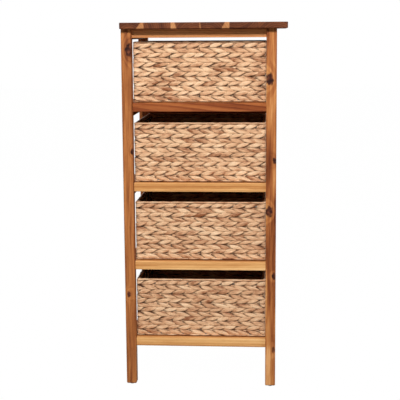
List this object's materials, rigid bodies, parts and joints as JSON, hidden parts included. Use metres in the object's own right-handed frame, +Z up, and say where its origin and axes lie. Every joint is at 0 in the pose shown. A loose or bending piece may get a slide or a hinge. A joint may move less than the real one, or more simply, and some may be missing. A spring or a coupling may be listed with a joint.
{
  "type": "storage cabinet",
  "caption": "Narrow free-standing open-sided wooden storage cabinet with a flat overhanging top and woven baskets that slide out of stacked shelves.",
  "frame": {"origin": "on the floor, under the middle of the top board", "axes": "+Z up, -Y towards the front that the baskets come out of, +X to the right seen from the front"},
  "size_m": [0.4, 0.37, 0.9],
  "materials": {
    "acacia": "oiled solid acacia, orange brown with darker figure",
    "acacia_top": "oiled edge-glued acacia staves, dark heartwood with pale sapwood",
    "water_hyacinth": "dried plaited water hyacinth, matte",
    "wire_steel": "steel wire with a dark brown lacquer",
    "screw_steel": "zinc-plated steel",
    "dowel_beech": "plain turned beech",
    "glide_plastic": "moulded grey polyethylene"
  },
  "bodies": {
    "frame": {"top_board": "acacia_top", "leg_front_left": "acacia", "leg_front_right": "acacia", "leg_back_left": "acacia", "leg_back_right": "acacia", "floor_glides": "glide_plastic", "top_front_rail": "acacia", "top_side_rail_left": "acacia", "top_side_rail_right": "acacia", "front_rail_1": "acacia", "front_rail_2": "acacia", "front_rail_3": "acacia", "front_rail_4": "acacia", "side_rail_left_1": "acacia", "side_rail_left_2": "acacia", "side_rail_left_3": "acacia", "side_rail_left_4": "acacia", "side_rail_right_1": "acacia", "side_rail_right_2": "acacia", "side_rail_right_3": "acacia", "side_rail_right_4": "acacia", "back_rail_1": "acacia", "back_rail_2": "acacia", "back_rail_3": "acacia", "back_rail_4": "acacia", "shelf_1": "acacia", "shelf_2": "acacia", "shelf_3": "acacia", "shelf_4": "acacia", "front_rail_dowels": "dowel_beech", "side_rail_dowels": "dowel_beech", "back_rail_dowels": "dowel_beech", "shelf_screws": "screw_steel", "top_screws": "screw_steel"},
    "basket_1": {"basket_wall_1": "water_hyacinth", "basket_base_1": "water_hyacinth", "basket_rim_1": "water_hyacinth", "basket_wires_1": "wire_steel"},
    "basket_2": {"basket_wall_2": "water_hyacinth", "basket_base_2": "water_hyacinth", "basket_rim_2": "water_hyacinth", "basket_wires_2": "wire_steel"},
    "basket_3": {"basket_wall_3": "water_hyacinth", "basket_base_3": "water_hyacinth", "basket_rim_3": "water_hyacinth", "basket_wires_3": "wire_steel"},
    "basket_4": {"basket_wall_4": "water_hyacinth", "basket_base_4": "water_hyacinth", "basket_rim_4": "water_hyacinth", "basket_wires_4": "wire_steel"}
  },
  "joints": [
    {"name": "basket_slide_1", "type": "slide", "parent": "frame", "child": "basket_1", "axis": [0, -1, 0], "range_m": [0, 0.28]},
    {"name": "basket_slide_2", "type": "slide", "parent": "frame", "child": "basket_2", "axis": [0, -1, 0], "range_m": [0, 0.28]},
    {"name": "basket_slide_3", "type": "slide", "parent": "frame", "child": "basket_3", "axis": [0, -1, 0], "range_m": [0, 0.28]},
    {"name": "basket_slide_4", "type": "slide", "parent": "frame", "child": "basket_4", "axis": [0, -1, 0], "range_m": [0, 0.28]}
  ]
}
